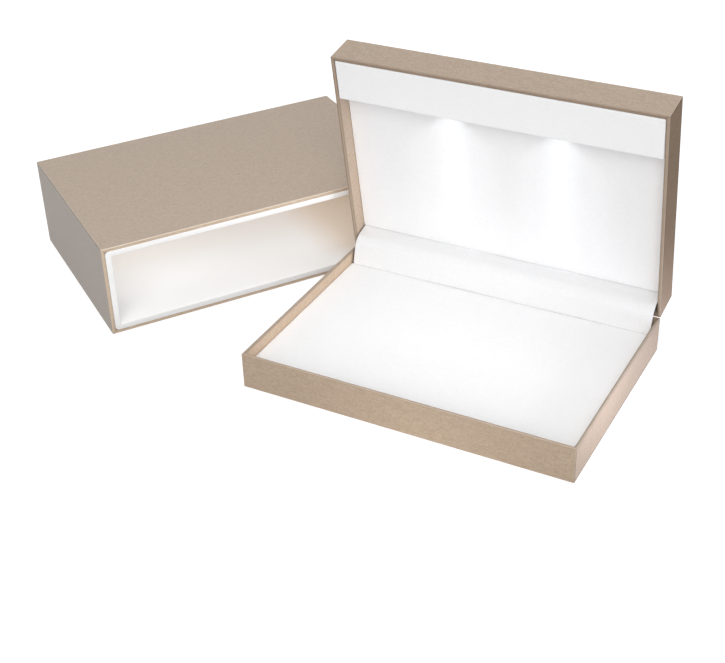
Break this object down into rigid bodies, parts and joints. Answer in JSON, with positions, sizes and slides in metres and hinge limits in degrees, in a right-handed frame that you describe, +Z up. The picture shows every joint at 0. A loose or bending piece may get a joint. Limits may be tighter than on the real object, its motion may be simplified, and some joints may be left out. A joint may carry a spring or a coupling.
{
  "type": "presentation gift box with sliding sleeve",
  "caption": "Shallow presentation case with a spring-hinged, lighted lid over flat pads, beside the open-sided board sleeve that the closed case slides into like a drawer.",
  "frame": {"origin": "centre of the case's underside, on the surface that case and sleeve stand on", "axes": "+X along the hinge, to the right as seen from the front; +Y from the case's front to its hinge; +Z up"},
  "size_m": [0.4944, 0.3161, 0.1927],
  "materials": {
    "champagne_paper": "satin paper with a fine brushed streak, drawn over board",
    "white_leatherette": "white grained leatherette",
    "white_padding": "white grained leatherette over foam",
    "white_liner": "matt white lining board",
    "grey_board": "raw grey board",
    "plated_steel": "plated",
    "spring_steel": "plain",
    "circuit_board": "solder mask",
    "light_lens": "clear resin",
    "white_plastic": "moulded",
    "black_plastic": "moulded",
    "cell_steel": "polished",
    "lead_insulation": "insulation"
  },
  "bodies": {
    "base": {"base_tray": "champagne_paper", "base_riser": "grey_board", "base_pad_board": "grey_board", "base_pad": "white_padding", "base_apron": "white_leatherette", "hinge_leaf_base_left": "plated_steel", "hinge_leaf_base_right": "plated_steel", "hinge_pin_left": "plated_steel", "hinge_pin_right": "plated_steel", "hinge_spring_left": "spring_steel", "hinge_spring_right": "spring_steel", "base_rivet_1": "plated_steel", "base_rivet_2": "plated_steel", "base_rivet_3": "plated_steel", "base_rivet_4": "plated_steel", "switch_striker": "plated_steel"},
    "lid": {"lid_tray": "champagne_paper", "lid_riser": "grey_board", "lid_pad_board": "grey_board", "lid_pad": "white_padding", "lid_apron": "white_leatherette", "hinge_leaf_lid_left": "plated_steel", "hinge_leaf_lid_right": "plated_steel", "lid_rivet_1": "plated_steel", "lid_rivet_2": "plated_steel", "lid_rivet_3": "plated_steel", "lid_rivet_4": "plated_steel", "light_header": "white_leatherette", "circuit_board": "circuit_board", "light_diode_left": "light_lens", "light_diode_right": "light_lens", "light_bezel_left": "white_plastic", "light_bezel_right": "white_plastic", "battery_holder": "black_plastic", "coin_cell_left": "cell_steel", "coin_cell_right": "cell_steel", "battery_contact_left": "spring_steel", "battery_contact_right": "spring_steel", "switch_body": "black_plastic", "switch_lead_left": "lead_insulation", "switch_lead_right": "lead_insulation"},
    "plunger": {"switch_plunger": "white_plastic"},
    "sleeve": {"sleeve_shell": "champagne_paper", "sleeve_liner_floor": "white_liner", "sleeve_liner_roof": "white_liner", "sleeve_liner_left": "white_liner", "sleeve_liner_right": "white_liner", "sleeve_liner_back": "white_liner"}
  },
  "joints": [
    {"name": "lid_hinge", "type": "hinge", "parent": "base", "child": "lid", "pos_m": [0, 0.082, 0.02685], "axis": [1, 0, 0], "range_deg": [0, 80.8]},
    {"name": "switch_press", "type": "slide", "parent": "lid", "child": "plunger", "axis": [0, 0.9871, 0.1599], "range_m": [0, 0.001]},
    {"name": "sleeve_draw", "type": "slide", "parent": "base", "child": "sleeve", "axis": [-0.8181, 0.575, 0], "range_m": [0, 0.1555]}
  ],
  "couplings": [
    {"joint": "switch_press", "follows": "lid_hinge", "m_per_rad": 0.000709}
  ]
}
